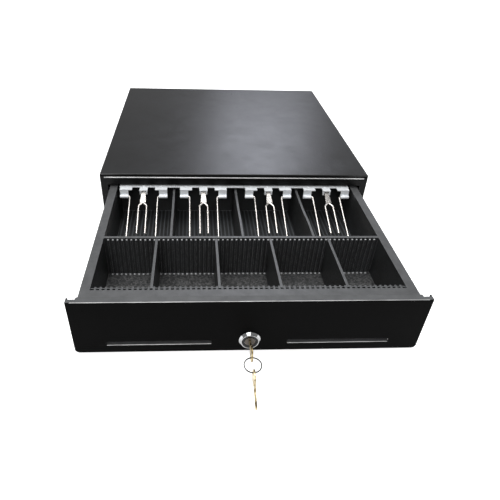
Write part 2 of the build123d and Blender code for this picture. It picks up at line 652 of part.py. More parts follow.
# Clip rail: a zinc strip over the back of the tray, with three folded brackets for each clip.
with BuildPart() as clip_rail:
    rail_top = RAIL_Z + RAIL_T
    slab(-RAIL_X, RAIL_X, RAIL_FRONT, RAIL_BACK, RAIL_Z, rail_top)
    drop_y = BAIL_Y + 1.2
    fork_drop_y = FORK_Y + 1.2
    for centre in CLIP_CENTRES:
        for side in (-1, 1):
            low, high = sorted((centre + side * TAB_OUT, centre + side * (TAB_OUT - TAB_UPPER)))
            slab(low, high, drop_y, RAIL_FRONT + 1, RAIL_Z, rail_top)
            low, high = sorted((centre + side * TAB_OUT, centre + side * (TAB_OUT - TAB_LOWER)))
            slab(low, high, drop_y, drop_y + RAIL_T, BAIL_Z - 1, rail_top)
            start = (centre + side * TAB_OUT, BAIL_Y, BAIL_Z)
            rod(start, (-side, 0, 0), TAB_LOWER, KNUCKLE_R)
            rod(start, (-side, 0, 0), TAB_LOWER + 1, BAIL_WIRE_R + 0.06, mode=Mode.SUBTRACT)
            low, high = sorted((centre + side * 3.7, centre + side * 5.7))
            slab(low, high, FORK_Y - 1.8, fork_drop_y + 0.5, FORK_Z - 1.8, RAIL_Z + 0.1)
        slab(centre - TAB_MID / 2, centre + TAB_MID / 2, fork_drop_y, RAIL_FRONT + 1, RAIL_Z, rail_top)
        slab(centre - TAB_MID / 2, centre + TAB_MID / 2, FORK_Y - 1.8, FORK_Y + 3, RAIL_Z - 0.2, rail_top)
        ear_start = (centre - 7, FORK_Y, FORK_Z)
        rod(ear_start, (1, 0, 0), 14, FORK_PIN_R + 0.02, mode=Mode.SUBTRACT)
    for x in RAIL_SCREW_X:
        rod((x, RAIL_SCREW_Y, RAIL_Z - 1), (0, 0, 1), 4, 1.6, mode=Mode.SUBTRACT)
save(clip_rail, "clip_rail")

with BuildPart() as rail_screws:
    for x in RAIL_SCREW_X:
        rod((x, RAIL_SCREW_Y, rail_top), (0, 0, 1), 1.2, 2.8)
        rod((x, RAIL_SCREW_Y, RAIL_Z + 0.05), (0, 0, 1), RAIL_T, 1.5)
save(rail_screws, "rail_screws")

with BuildPart() as fork_pins:
    for centre in CLIP_CENTRES:
        rod((centre - 5.7, FORK_Y, FORK_Z), (1, 0, 0), 11.4, FORK_PIN_R)
save(fork_pins, "fork_pins")

reach_y = BAIL_REACH * cos(CLIP_SLOPE)
reach_z = BAIL_REACH * sin(CLIP_SLOPE)
for number, centre in enumerate(CLIP_CENTRES, start=1):
    # Bail: one wire, hooked into the two outer knuckles and joined across its far end.
    with BuildPart() as bill_bail:
        with BuildLine() as bail_path:
            FilletPolyline(
                (centre - TAB_OUT + 1, BAIL_Y, BAIL_Z),
                (centre - BAIL_ARM_X, BAIL_Y, BAIL_Z),
                (centre - BAIL_ARM_X, BAIL_Y - reach_y, BAIL_Z - reach_z),
                (centre + BAIL_ARM_X, BAIL_Y - reach_y, BAIL_Z - reach_z),
                (centre + BAIL_ARM_X, BAIL_Y, BAIL_Z),
                (centre + TAB_OUT - 1, BAIL_Y, BAIL_Z),
                radius=2.0,
            )
        with BuildSketch(Plane(origin=(centre - TAB_OUT + 1, BAIL_Y, BAIL_Z), z_dir=(1, 0, 0))):
            Circle(BAIL_WIRE_R)
        sweep()
    save(bill_bail, f"bill_bail_{number}")

    # Fork: a tapered sleeve on its own pin, crimped round a wire bent like a tuning fork.
    fork_plane = Plane(
        origin=(centre, FORK_Y, FORK_Z),
        x_dir=(1, 0, 0),
        z_dir=(0, -sin(CLIP_SLOPE), cos(CLIP_SLOPE)),
    )
    with BuildPart() as bill_fork:
        rod((centre - 3.3, FORK_Y, FORK_Z), (1, 0, 0), 6.6, 2.0)
        with BuildSketch(fork_plane.offset(-1.7)):
            with BuildLine():
                Polyline(
                    (-SLEEVE_TOP / 2, 0),
                    (SLEEVE_TOP / 2, 0),
                    (SLEEVE_END / 2, -FORK_APEX - 0.5),
                    (-SLEEVE_END / 2, -FORK_APEX - 0.5),
                    close=True,
                )
            make_face()
        extrude(amount=3.4)
        with BuildLine(fork_plane) as fork_path:
            FilletPolyline(
                (-FORK_HALF, -FORK_TIP),
                (-FORK_HALF, -FORK_APEX - 6),
                (0, -FORK_APEX + 0.5),
                (FORK_HALF, -FORK_APEX - 6),
                (FORK_HALF, -FORK_TIP),
                radius=2.2,
            )
        with BuildSketch(Plane(origin=fork_path.line @ 0, z_dir=fork_path.line % 0)):
            Circle(FORK_WIRE_R)
        sweep()
        rod((centre - 4, FORK_Y, FORK_Z), (1, 0, 0), 8, FORK_PIN_R + 0.05, mode=Mode.SUBTRACT)
    save(bill_fork, f"bill_fork_{number}")

# ======== Release gear ========

# Bracket: a plate on the base that carries the latch pivot, the solenoid and the ejector.
with BuildPart() as latch_bracket:
    slab(-75, 75, GEAR_Y + 6, GEAR_Y + 92, BASE_TOP, BASE_TOP + 1.5)
    slab(20, 48, GEAR_Y + 20, GEAR_Y + 40, BASE_TOP + 1.5, LATCH_Z - 0.3)
    slab(21.5, 46.5, GEAR_Y + 19, GEAR_Y + 41, BASE_TOP + 1.5, LATCH_Z - 1.8, mode=Mode.SUBTRACT)
    rod((LATCH_PIVOT[0], LATCH_PIVOT[1], LATCH_Z - 3), (0, 0, 1), 4, LATCH_PIN_R + 0.02, mode=Mode.SUBTRACT)
save(latch_bracket, "latch_bracket")

with BuildPart() as latch_pivot:
    rod((LATCH_PIVOT[0], LATCH_PIVOT[1], LATCH_Z - 1.8), (0, 0, 1), LATCH_T + 3, LATCH_PIN_R)
    rod((LATCH_PIVOT[0], LATCH_PIVOT[1], LATCH_Z + LATCH_T + 0.3), (0, 0, 1), 1.2, 4.5)
save(latch_pivot, "latch_pivot")

# Latch lever: its nose stands in front of the striker's hook while the drawer is shut.
with BuildPart() as latch_lever:
    with BuildSketch(level(LATCH_Z)):
        with BuildLine():
            Polyline(
                (5, GEAR_Y + 5.5),
                (16, GEAR_Y + 5.5),
                (16, GEAR_Y + 20),
                (42, GEAR_Y + 24),
                (42, GEAR_Y + 36),
                (29, GEAR_Y + 50),
                (29, GEAR_Y + 62),
                (22.4, GEAR_Y + 62),
                (22.4, GEAR_Y + 36),
                (10, GEAR_Y + 30),
                (10, GEAR_Y + 9.6),
                (5, GEAR_Y + 9.6),
                close=True,
            )
        make_face()
        with Locations(LATCH_PIVOT):
            Circle(LATCH_PIN_R + 0.05, mode=Mode.SUBTRACT)
    extrude(amount=LATCH_T)
save(latch_lever, "latch_lever")

# Solenoid: a U of plate holding the coil, with a plunger that pulls the lever's tail.
with BuildPart() as solenoid_frame:
    frame_x0, frame_x1 = -34.0, 8.0
    coil_y = GEAR_Y + 58
    coil_z = LATCH_Z + LATCH_T / 2
    slab(frame_x0, frame_x1, coil_y - 14, coil_y + 14, coil_z - 15, coil_z - 13)
    for low in (frame_x0, frame_x1 - 2):
        slab(low, low + 2, coil_y - 14, coil_y + 14, coil_z - 15, coil_z + 14)
    slab(frame_x0 + 6, frame_x1 - 6, coil_y - 6, coil_y + 6, BASE_TOP + 1.5, coil_z - 15)
    bore = frame_x1 - frame_x0 + 2
    rod((frame_x0 - 1, coil_y, coil_z), (1, 0, 0), bore, PLUNGER_R + 0.4, mode=Mode.SUBTRACT)
save(solenoid_frame, "solenoid_frame")

with BuildPart() as solenoid_coil:
    rod((frame_x0 + 2.2, coil_y, coil_z), (1, 0, 0), frame_x1 - frame_x0 - 4.4, COIL_R)
    rod((frame_x0 - 1, coil_y, coil_z), (1, 0, 0), bore, PLUNGER_R + 0.4, mode=Mode.SUBTRACT)
save(solenoid_coil, "solenoid_coil")

with BuildPart() as solenoid_plunger:
    rod((frame_x0 + 10, coil_y, coil_z), (1, 0, 0), 45.7, PLUNGER_R)
    rod((frame_x1 + 9, coil_y, coil_z), (1, 0, 0), 2, PLUNGER_R + 2)
save(solenoid_plunger, "solenoid_plunger")

# Return spring of the latch, a drum of wire round the pivot above the lever.
with BuildPart() as latch_spring:
    spring_z = LATCH_Z + LATCH_T + 1.8
    with BuildSketch(level(spring_z)):
        with Locations(LATCH_PIVOT):
            Circle(6)
            Circle(4.2, mode=Mode.SUBTRACT)
    extrude(amount=5)
save(latch_spring, "latch_spring")

# Ejector: a spring-loaded pusher that kicks the released drawer open.
with BuildPart() as ejector_housing:
    tube_y = GEAR_Y + 20
    pusher_z = LATCH_Z + 2
    rod((PUSHER_X, tube_y, pusher_z), (0, 1, 0), 50, 8.0)
    rod((PUSHER_X, tube_y + 2, pusher_z), (0, 1, 0), 46, 6.5, mode=Mode.SUBTRACT)
    rod((PUSHER_X, tube_y - 1, pusher_z), (0, 1, 0), 5, PUSHER_R + 0.08, mode=Mode.SUBTRACT)
    slab(PUSHER_X - 5, PUSHER_X + 5, tube_y + 5, tube_y + 45, BASE_TOP + 1.5, pusher_z - 7.6)
save(ejector_housing, "ejector_housing")

with BuildPart() as ejector_pusher:
    rod((PUSHER_X, GEAR_Y + 3.3, pusher_z), (0, 1, 0), 21, PUSHER_R)
    rod((PUSHER_X, GEAR_Y + 0.3, pusher_z), (0, 1, 0), 3, 7.0)
    rod((PUSHER_X, GEAR_Y + 22.3, pusher_z), (0, 1, 0), 2, 6.2)
save(ejector_pusher, "ejector_pusher")

with BuildPart() as ejector_spring:
    spring_front = GEAR_Y + 24.5
    rod((PUSHER_X, spring_front, pusher_z), (0, 1, 0), tube_y + 48 - spring_front, 6.0)
    rod((PUSHER_X, spring_front - 1, pusher_z), (0, 1, 0), 60, 4.6, mode=Mode.SUBTRACT)
save(ejector_spring, "ejector_spring")

# Drawer-open switch: the shut drawer presses its lever.
with BuildPart() as switch_body:
    slab(SWITCH_X - 3.2, SWITCH_X + 3.2, GEAR_Y + 8, GEAR_Y + 28, 30, 40)
    slab(SWITCH_X - 3.2, SWITCH_X + 3.2, GEAR_Y + 12, GEAR_Y + 24, BASE_TOP, 30)
    slab(SWITCH_X - 12, SWITCH_X + 12, GEAR_Y + 8, GEAR_Y + 28, BASE_TOP, BASE_TOP + 1.5)
save(switch_body, "switch_body")

with BuildPart() as switch_lever:
    slab(SWITCH_X - 2, SWITCH_X + 2, GEAR_Y + 6.4, GEAR_Y + 7.0, 30, 44)
    rod((SWITCH_X - 2, GEAR_Y + 3.2, 43), (1, 0, 0), 4, 2.5)
    slab(SWITCH_X - 2, SWITCH_X + 2, GEAR_Y + 4.5, GEAR_Y + 6.8, 41.5, 44.5)
save(switch_lever, "switch_lever")

# Modular socket in the rear panel, and the leads from the back of the coil, along the base, into it.
with BuildPart() as rj12_socket:
    socket_back = CASE_BACK + 0.6
    slab(SOCKET_X - 7, SOCKET_X + 7, socket_back - 14, socket_back, SOCKET_Z - 6.5, SOCKET_Z + 6.5)
    mouth_low = SOCKET_Z - 3.5
    mouth_high = SOCKET_Z + 4
    mouth_end = socket_back - 11
    slab(SOCKET_X - 5, SOCKET_X + 5, mouth_end, socket_back + 1, mouth_low, mouth_high, mode=Mode.SUBTRACT)
save(rj12_socket, "rj12_socket")

with BuildPart() as solenoid_leads:
    lead_x = (frame_x0 + frame_x1) / 2
    lead_y = coil_y + COIL_R + 8.5
    lead_z = BASE_TOP + LEAD_R + 0.2
    socket_face = socket_back - 14
    with BuildLine() as lead_path:
        FilletPolyline(
            (lead_x, coil_y + COIL_R, coil_z),
            (lead_x, lead_y, coil_z),
            (lead_x, lead_y, lead_z + 1.5),
            (78, lead_y, lead_z + 1.5),
            (90, lead_y, lead_z),
            (SOCKET_X, socket_face - 11, lead_z),
            (SOCKET_X, socket_face - 11, SOCKET_Z),
            (SOCKET_X, socket_face, SOCKET_Z),
            radius=6.5,
        )
    with BuildSketch(Plane(origin=lead_path.line @ 0, z_dir=lead_path.line % 0)):
        Circle(LEAD_R)
    sweep()
save(solenoid_leads, "solenoid_leads")
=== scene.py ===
import json
import math
import bmesh
import bpy
from mathutils import Matrix, Vector


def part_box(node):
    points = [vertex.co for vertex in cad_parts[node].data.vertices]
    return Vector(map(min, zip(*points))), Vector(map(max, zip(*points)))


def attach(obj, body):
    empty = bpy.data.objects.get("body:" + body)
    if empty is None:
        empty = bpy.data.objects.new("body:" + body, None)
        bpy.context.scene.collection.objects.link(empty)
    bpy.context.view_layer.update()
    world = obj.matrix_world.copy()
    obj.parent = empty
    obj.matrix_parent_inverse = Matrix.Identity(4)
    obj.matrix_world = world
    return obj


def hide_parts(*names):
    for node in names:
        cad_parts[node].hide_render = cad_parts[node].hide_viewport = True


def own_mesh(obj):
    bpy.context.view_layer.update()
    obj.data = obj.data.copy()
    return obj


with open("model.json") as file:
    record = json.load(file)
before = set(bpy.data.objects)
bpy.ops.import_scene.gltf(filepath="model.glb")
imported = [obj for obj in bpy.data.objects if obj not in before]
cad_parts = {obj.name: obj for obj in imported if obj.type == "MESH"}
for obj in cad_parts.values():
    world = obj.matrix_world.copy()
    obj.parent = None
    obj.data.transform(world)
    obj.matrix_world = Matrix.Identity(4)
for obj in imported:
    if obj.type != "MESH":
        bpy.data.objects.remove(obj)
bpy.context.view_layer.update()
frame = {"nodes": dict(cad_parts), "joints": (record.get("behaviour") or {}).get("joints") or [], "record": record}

NODES = frame["nodes"]
JOINTS = {joint["name"]: joint for joint in frame["joints"]}
MM = 0.001

# Heights and depths that materials and pieces need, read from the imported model.
TRAY_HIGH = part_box("money_tray")[1]
DIVIDER_LOW, DIVIDER_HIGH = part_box("coin_divider_1")
TRAY_FLOOR = DIVIDER_LOW.z - 0.1 * MM
PARTITION_Y = DIVIDER_HIGH.y + 2.3 * MM
RAIL_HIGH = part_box("clip_rail")[1]
PANEL_LOW, PANEL_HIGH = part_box("drawer_front")
KEY_PIVOT = Vector(JOINTS["ring_swing"]["pos_m"])
SECOND_PIVOT = Vector(JOINTS["second_key_swing"]["pos_m"])
RIB_PITCH = 5.83 * MM
KNURL_PITCH = 3.6 * MM
CRIMP_PITCH = 1.9 * MM
SLEEVE_LENGTH = 21 * MM


class Surface:
    """A procedural material round one Principled shader, with short names for its nodes."""

    def __init__(self, name, **sockets):
        self.material = bpy.data.materials.new(name)
        self.material.use_nodes = True
        self.tree = self.material.node_tree
        self.shader = self.tree.nodes["Principled BSDF"]
        for socket, value in sockets.items():
            self.shader.inputs[socket.replace("_", " ")].default_value = value
        self.place = self.add("ShaderNodeTexCoord").outputs["Object"]

    def add(self, kind, inputs=None, **settings):
        node = self.tree.nodes.new(kind)
        for key, value in settings.items():
            setattr(node, key, value)
        for socket, value in (inputs or {}).items():
            if isinstance(value, bpy.types.NodeSocket):
                self.tree.links.new(value, node.inputs[socket])
            else:
                node.inputs[socket].default_value = value
        return node

    def math(self, operation, a, b=0.0, clamp=False):
        node = self.add("ShaderNodeMath", {0: a, 1: b}, operation=operation, use_clamp=clamp)
        return node.outputs[0]

    def stretch(self, x, y, z):
        node = self.add("ShaderNodeVectorMath", {0: self.place, 1: (x, y, z)}, operation="MULTIPLY")
        return node.outputs[0]

    def noise(self, scale, detail=3.0, place=None, rough=0.55):
        inputs = {"Vector": place or self.place, "Scale": scale, "Detail": detail, "Roughness": rough}
        return self.add("ShaderNodeTexNoise", inputs).outputs["Fac"]

    def cells(self, scale, output="Distance", place=None, feature="F1"):
        inputs = {"Vector": place or self.place, "Scale": scale}
        return self.add("ShaderNodeTexVoronoi", inputs, feature=feature).outputs[output]

    def spread(self, value, low, high, to_low=0.0, to_high=1.0):
        inputs = {0: value, 1: low, 2: high, 3: to_low, 4: to_high}
        return self.add("ShaderNodeMapRange", inputs).outputs[0]

    def blend(self, amount, low, high):
        node = self.add("ShaderNodeMix", data_type="RGBA")
        for socket, value in ((node.inputs[0], amount), (node.inputs[6], low), (node.inputs[7], high)):
            if isinstance(value, bpy.types.NodeSocket):
                self.tree.links.new(value, socket)
            else:
                socket.default_value = value
        return node.outputs[2]

    def split(self):
        return self.add("ShaderNodeSeparateXYZ", {0: self.place}).outputs

    def feed(self, socket, value):
        self.tree.links.new(value, self.shader.inputs[socket])

    def bump(self, height, distance, strength=1.0, under=None):
        inputs = {"Height": height, "Distance": distance, "Strength": strength}
        if under is not None:
            inputs["Normal"] = under
        return self.add("ShaderNodeBump", inputs).outputs[0]

    def rounded(self, radius):
        return self.add("ShaderNodeBevel", {"Radius": radius}, samples=4).outputs[0]

    def edges(self, radius, low=0.02, high=0.18):
        """1 along sharp edges and 0 on open faces."""
        soft = self.rounded(radius)
        flat = self.add("ShaderNodeNewGeometry").outputs["Normal"]
        dot = self.add("ShaderNodeVectorMath", {0: soft, 1: flat}, operation="DOT_PRODUCT")
        return self.spread(self.math("SUBTRACT", 1.0, dot.outputs["Value"]), low, high)


def facing_up(s):
    """1 on faces that look up and 0 on upright ones."""
    normal = s.add("ShaderNodeNewGeometry").outputs["Normal"]
    return s.spread(s.add("ShaderNodeSeparateXYZ", {0: normal}).outputs[2], 0.7, 0.95)


def grey(value, tint=0.0):
    """An opaque grey, bluer as tint goes up and warmer as it goes down."""
    return (value * (1 - tint), value, value * (1 + tint), 1.0)


def paint(name, tone, rough, grain, depth, specular, worn, dust_and_sheen=0.0):
    """Powder coat: orange-peel grain, a faint cloudiness, paler edges and, on level faces, a pale film that is
    part dusting and part painted sheen.
    """
    s = Surface(name, Specular_IOR_Level=specular)
    cloud = s.noise(9.0, 4.0)
    base = s.blend(s.spread(cloud, 0.3, 0.7), grey(tone * 0.85), grey(tone * 1.2, 0.03))
    if dust_and_sheen:
        # Level faces go paler: partly settled dusting, partly a painted sheen where top faces catch the light.
        sheen_and_dust_mask = s.math("MULTIPLY", facing_up(s), s.spread(s.noise(60.0, 5.0), 0.1, 0.7, 0.6, 1.0))
        base = s.blend(sheen_and_dust_mask, base, grey(dust_and_sheen, 0.02))
    edge = s.math("MULTIPLY", s.edges(0.7 * MM), s.spread(s.noise(160.0, 4.0), 0.25, 0.75), clamp=True)
    s.feed("Base Color", s.blend(edge, base, grey(worn)))
    peel = s.math("ADD", s.noise(grain, 3.0), s.math("MULTIPLY", s.noise(grain * 3.1, 2.0), 0.35))
    s.feed("Normal", s.bump(peel, depth, under=s.rounded(0.6 * MM)))
    s.feed("Roughness", s.spread(s.noise(35.0, 5.0), 0.2, 0.8, rough - 0.05, rough + 0.07))
    return s.material


def plated(name, tone, rough, scratch, tint=0.0, patina=0.12, along=(60.0, 1200.0, 1200.0), metal=1.0):
    """Plated steel: drawn scratches and a cloudy passivation with slightly darker patches."""
    s = Surface(name, Metallic=metal)
    lines = s.noise(1.0, 3.0, s.stretch(*along), 0.6)
    cloud = s.noise(45.0, 5.0)
    dark = tuple(c * (1 - patina * 2.2) for c in grey(tone, tint)[:3]) + (1.0,)
    s.feed("Base Color", s.blend(s.spread(cloud, 0.35, 0.62), dark, grey(tone, tint)))
    mixed = s.math("ADD", s.math("MULTIPLY", lines, 0.6), s.math("MULTIPLY", cloud, 0.4))
    s.feed("Roughness", s.spread(mixed, 0.3, 0.7, rough - 0.08, rough + 0.14))
    s.feed("Normal", s.bump(lines, scratch, under=s.rounded(0.25 * MM)))
    return s.material


def galvanised(name):
    """Zinc-coated sheet with its spangle."""
    s = Surface(name, Metallic=1.0)
    spangle = s.cells(160.0, "Color")
    tone = s.add("ShaderNodeSeparateColor", {0: spangle}).outputs[0]
    s.feed("Base Color", s.blend(tone, grey(0.42, 0.02), grey(0.62, 0.02)))
    s.feed("Roughness", s.spread(s.math("ADD", tone, s.noise(60.0)), 0.3, 1.6, 0.28, 0.52))
    s.feed("Normal", s.bump(s.cells(160.0), 0.03 * MM, 0.6, s.rounded(0.3 * MM)))
    return s.material


def tray_plastic(name, patterned):
    """Moulded ABS: spark-eroded grain, paler edges that are part rubbed wear and part painted highlight, a paler
    top that is part dusting and part painted sheen, and, in the tray, its patterned floors with painted highlights
    on their crests.
    """
    s = Surface(name, Specular_IOR_Level=0.42)
    grain = s.cells(2300.0)
    cloud = s.noise(26.0, 5.0)
    base = s.blend(s.spread(cloud, 0.3, 0.7), grey(0.019), grey(0.028, 0.05))
    height = s.math("MULTIPLY", grain, 0.35)
    if patterned:
        x, y, z = s.split()
        floor = s.math("LESS_THAN", z, TRAY_FLOOR + 0.2 * MM)
        coins = s.math("MULTIPLY", floor, s.math("LESS_THAN", y, PARTITION_Y))
        bills = s.math("MULTIPLY", floor, s.math("GREATER_THAN", y, PARTITION_Y))
        waves = []
        for part in (s.math("ADD", x, y), s.math("SUBTRACT", x, y)):
            waves.append(s.math("SINE", s.math("MULTIPLY", part, 2 * math.pi / KNURL_PITCH)))
        knurl = s.spread(s.math("MULTIPLY", waves[0], waves[1]), 0.0, 0.8)
        speck = s.add("ShaderNodeSeparateColor", {0: s.cells(520.0, "Color")}).outputs[0]
        rib = s.spread(s.math("SINE", s.math("MULTIPLY", x, 2 * math.pi / RIB_PITCH)), 0.1, 0.9)
        crest = s.math("ADD", s.math("MULTIPLY", coins, knurl), s.math("MULTIPLY", bills, rib))
        # The floors go paler on the knurl and rib crests: a painted highlight, broken up on the coin side by a
        # random speckle.
        crest_highlight_and_speck = s.math("MULTIPLY", s.spread(knurl, 0.0, 1.0, 0.5, 1.0), s.math("POWER", speck, 1.6))
        base = s.blend(s.math("MULTIPLY", coins, crest_highlight_and_speck), base, grey(0.17))
        base = s.blend(s.math("MULTIPLY", s.math("MULTIPLY", bills, rib), 0.8), base, grey(0.095, 0.08))
        height = s.math("ADD", height, s.math("MULTIPLY", crest, 1.6))
    # Faces near the top that look up go paler: partly dusting, partly a painted sheen where they catch the light.
    top = s.math("MULTIPLY", facing_up(s), s.math("GREATER_THAN", s.split()[2], TRAY_HIGH.z - 6 * MM))
    sheen_and_dust_top = s.math("MULTIPLY", top, s.spread(s.noise(90.0, 5.0), 0.2, 0.7, 0.5, 1.0))
    base = s.blend(sheen_and_dust_top, base, grey(0.10, 0.02))
    # Paler edges: partly rubbed wear, partly a painted highlight along the rounded edges.
    edge = s.math("MULTIPLY", s.edges(0.9 * MM), s.spread(s.noise(210.0, 4.0), 0.2, 0.6), clamp=True)
    s.feed("Base Color", s.blend(edge, base, grey(0.24, 0.03)))
    s.feed("Normal", s.bump(height, 0.16 * MM, 0.8, s.rounded(0.8 * MM)))
    s.feed("Roughness", s.spread(s.noise(300.0, 4.0), 0.2, 0.8, 0.36, 0.52))
    return s.material


def chrome(name):
    """Polished chrome with hairline wipe marks and finger haze."""
    s = Surface(name, Metallic=1.0)
    haze = s.noise(120.0, 4.0)
    s.feed("Base Color", s.blend(s.spread(haze, 0.4, 0.65), grey(0.52, 0.01), grey(0.40, 0.02)))
    hair = s.noise(1.0, 2.0, s.stretch(2600.0, 300.0, 260.0))
    s.feed("Roughness", s.spread(s.math("ADD", haze, hair), 0.7, 1.4, 0.06, 0.24))
    s.feed("Normal", s.bump(hair, 0.006 * MM, 0.5, s.rounded(0.3 * MM)))
    return s.material


def brass(name):
    """Worn brass: bright and browner patches at random, milling lines."""
    s = Surface(name, Metallic=1.0)
    cloud = s.noise(150.0, 5.0)
    pale, deep = (0.90, 0.76, 0.46, 1.0), (0.15, 0.10, 0.035, 1.0)
    s.feed("Base Color", s.blend(s.spread(cloud, 0.41, 0.60), deep, pale))
    mill = s.noise(1.0, 2.0, s.stretch(1500.0, 250.0, 3200.0))
    s.feed("Roughness", s.spread(s.math("ADD", cloud, mill), 0.6, 1.4, 0.20, 0.42))
    s.feed("Normal", s.bump(mill, 0.02 * MM, 0.6, s.rounded(0.2 * MM)))
    return s.material


def moulded(name, tone, rough, grain=1500.0, tint=0.0, specular=0.5):
    """Plain moulded plastic or rubber with a fine matt grain."""
    s = Surface(name, Specular_IOR_Level=specular)
    cloud = s.noise(70.0, 4.0)
    dark, pale = grey(tone * 0.8, tint), grey(tone * 1.15, tint)
    s.feed("Base Color", s.blend(s.spread(cloud, 0.3, 0.7), dark, pale))
    s.feed("Roughness", s.spread(cloud, 0.2, 0.8, rough - 0.06, rough + 0.08))
    s.feed("Normal", s.bump(s.cells(grain), 0.05 * MM, 0.6, s.rounded(0.4 * MM)))
    return s.material


def wound(name, low, high, pitch, rough, metal):
    """Wire or tape laid in turns along X."""
    s = Surface(name, Metallic=metal)
    turn = s.math("SINE", s.math("MULTIPLY", s.split()[0], 2 * math.pi / pitch))
    # The colour runs darker in the troughs between turns and paler on their crests: painted shade and highlight.
    s.feed("Base Color", s.blend(s.spread(s.math("ADD", turn, s.noise(200.0)), -0.5, 1.4), low, high))
    s.feed("Roughness", s.spread(s.noise(150.0), 0.3, 0.7, rough, rough + 0.15))
    s.feed("Normal", s.bump(turn, 0.12 * MM, 0.8))
    return s.material


def crimped(name, start, pitch):
    """Nickel wire whose sleeve, behind start, carries crimp grooves across it, with dark lines painted into the
    grooves as shade.
    """
    s = Surface(name, Metallic=1.0)
    y = s.split()[1]
    turn = s.math("SINE", s.math("MULTIPLY", y, 2 * math.pi / pitch))
    line = s.math("MULTIPLY", s.spread(turn, 0.1, 0.8), s.math("GREATER_THAN", y, start))
    cloud = s.noise(45.0, 5.0)
    bright = s.blend(s.spread(cloud, 0.35, 0.62), grey(0.78, -0.05), grey(0.90, -0.05))
    # Dark lines where the crimp grooves sink: painted shade.
    s.feed("Base Color", s.blend(s.math("MULTIPLY", line, 0.75), bright, grey(0.20)))
    s.feed("Roughness", s.spread(cloud, 0.3, 0.7, 0.16, 0.32))
    s.feed("Normal", s.bump(s.math("SUBTRACT", 1.0, line), 0.15 * MM, 0.8, s.rounded(0.25 * MM)))
    return s.material


MATERIALS = {
    "housing_paint": paint("powder_coat_housing", 0.011, 0.31, 700.0, 0.10 * MM, 0.43, 0.06),
    "drawer_paint": paint("powder_coat_drawer", 0.0016, 0.38, 900.0, 0.05 * MM, 0.02, 0.05, 0.13),
    "galvanised": galvanised("galvanised_sheet"),
    "zinc": plated("bright_zinc", 0.94, 0.42, 0.012 * MM, 0.03, 0.03, metal=0.22),
    "wire": plated("nickel_wire", 0.90, 0.22, 0.008 * MM, -0.05, 0.10, (1500.0, 120.0, 1500.0)),
    "chrome": chrome("polished_chrome"),
    "brass": brass("worn_brass"),
    "dark_steel": plated("dark_steel", 0.05, 0.26, 0.01 * MM, 0.0, 0.2),
    "screw": plated("black_oxide", 0.09, 0.36, 0.01 * MM, 0.0, 0.15),
    "rubber": moulded("matt_rubber", 0.020, 0.78, 900.0, 0.0, 0.3),
    "nylon": moulded("natural_nylon", 0.74, 0.42, 1200.0, -0.03),
    "coil_wrap": wound("amber_tape", (0.16, 0.05, 0.01, 1), (0.42, 0.15, 0.03, 1), 1.1 * MM, 0.32, 0.0),
    "plastic": moulded("black_moulding", 0.022, 0.46, 1700.0),
}
ABS = tray_plastic("abs_black", False)
ABS_TRAY = tray_plastic("abs_tray", True)


def finish_node(node, material):
    """Gives every material slot of a CAD node this material."""
    for holder in NODES[node].material_slots:
        holder.material = material


for row in frame["record"]["subparts"]:
    slot = row["material_slot"]
    finish_node(row["node"], ABS if slot == "abs" else MATERIALS[slot])
finish_node("money_tray", ABS_TRAY)
FRAME_PAINT = paint("powder_coat_frame", 0.004, 0.42, 900.0, 0.05 * MM, 0.12, 0.05)
finish_node("front_frame", FRAME_PAINT)
FORK_WIRE = crimped("fork_wire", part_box("bill_fork_1")[1].y - SLEEVE_LENGTH, CRIMP_PITCH)
for number in (1, 2, 3, 4):
    finish_node(f"bill_fork_{number}", FORK_WIRE)


def made(name, mesh, material, body):
    """A new piece with its material, riding on a CAD body."""
    piece = bpy.data.objects.new(name, mesh)
    bpy.context.scene.collection.objects.link(piece)
    mesh.materials.clear()
    mesh.materials.append(material)
    for face in mesh.polygons:
        face.use_smooth = True
    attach(piece, body)
    return piece


def from_curve(curve):
    """The curve's mesh, with the curve itself removed."""
    holder = bpy.data.objects.new("holder", curve)
    bpy.context.scene.collection.objects.link(holder)
    bpy.context.view_layer.update()
    mesh = bpy.data.meshes.new_from_object(holder.evaluated_get(bpy.context.evaluated_depsgraph_get()))
    bpy.data.objects.remove(holder)
    return mesh


def tube(points, radius, closed=False, sides=3, smooth=True):
    """A round tube whose centre line runs through the points."""
    curve = bpy.data.curves.new("tube", "CURVE")
    curve.dimensions = "3D"
    curve.bevel_depth = radius
    curve.bevel_resolution = sides
    curve.use_fill_caps = True
    spline = curve.splines.new("POLY")
    spline.points.add(len(points) - 1)
    for target, point in zip(spline.points, points):
        target.co = (*point, 1.0)
    spline.use_cyclic_u = closed
    spline.use_smooth = smooth
    return from_curve(curve)


def outline_plate(rings, half, rim):
    """A flat plate from closed outlines in the XY plane (the first is the edge, the rest are holes),
    with its rims rounded."""
    curve = bpy.data.curves.new("plate", "CURVE")
    curve.dimensions = "2D"
    curve.fill_mode = "BOTH"
    curve.extrude = half - rim
    curve.bevel_depth = rim
    curve.bevel_resolution = 2
    curve.offset = -rim
    for ring in rings:
        spline = curve.splines.new("POLY")
        spline.points.add(len(ring) - 1)
        for target, (x, y) in zip(spline.points, ring):
            target.co = (x, y, 0.0, 1.0)
        spline.use_cyclic_u = True
    return from_curve(curve)


def joined(meshes):
    """One mesh from several, each with the transform it should get."""
    whole = bmesh.new()
    for mesh, matrix in meshes:
        part = bmesh.new()
        part.from_mesh(mesh)
        part.transform(matrix)
        copy = bpy.data.meshes.new("copy")
        part.to_mesh(copy)
        part.free()
        whole.from_mesh(copy)
        bpy.data.meshes.remove(copy)
    mesh = bpy.data.meshes.new("joined")
    whole.to_mesh(mesh)
    whole.free()
    return mesh


# ---- Keys: a round bow with a raised rim, a shoulder, and a cut and grooved blade.
BOW_R, HOLE_OUT, NECK, HOLE_R, BLADE_H = 9.5 * MM, 6.0 * MM, 4.0 * MM, 2.6 * MM, 7.0 * MM


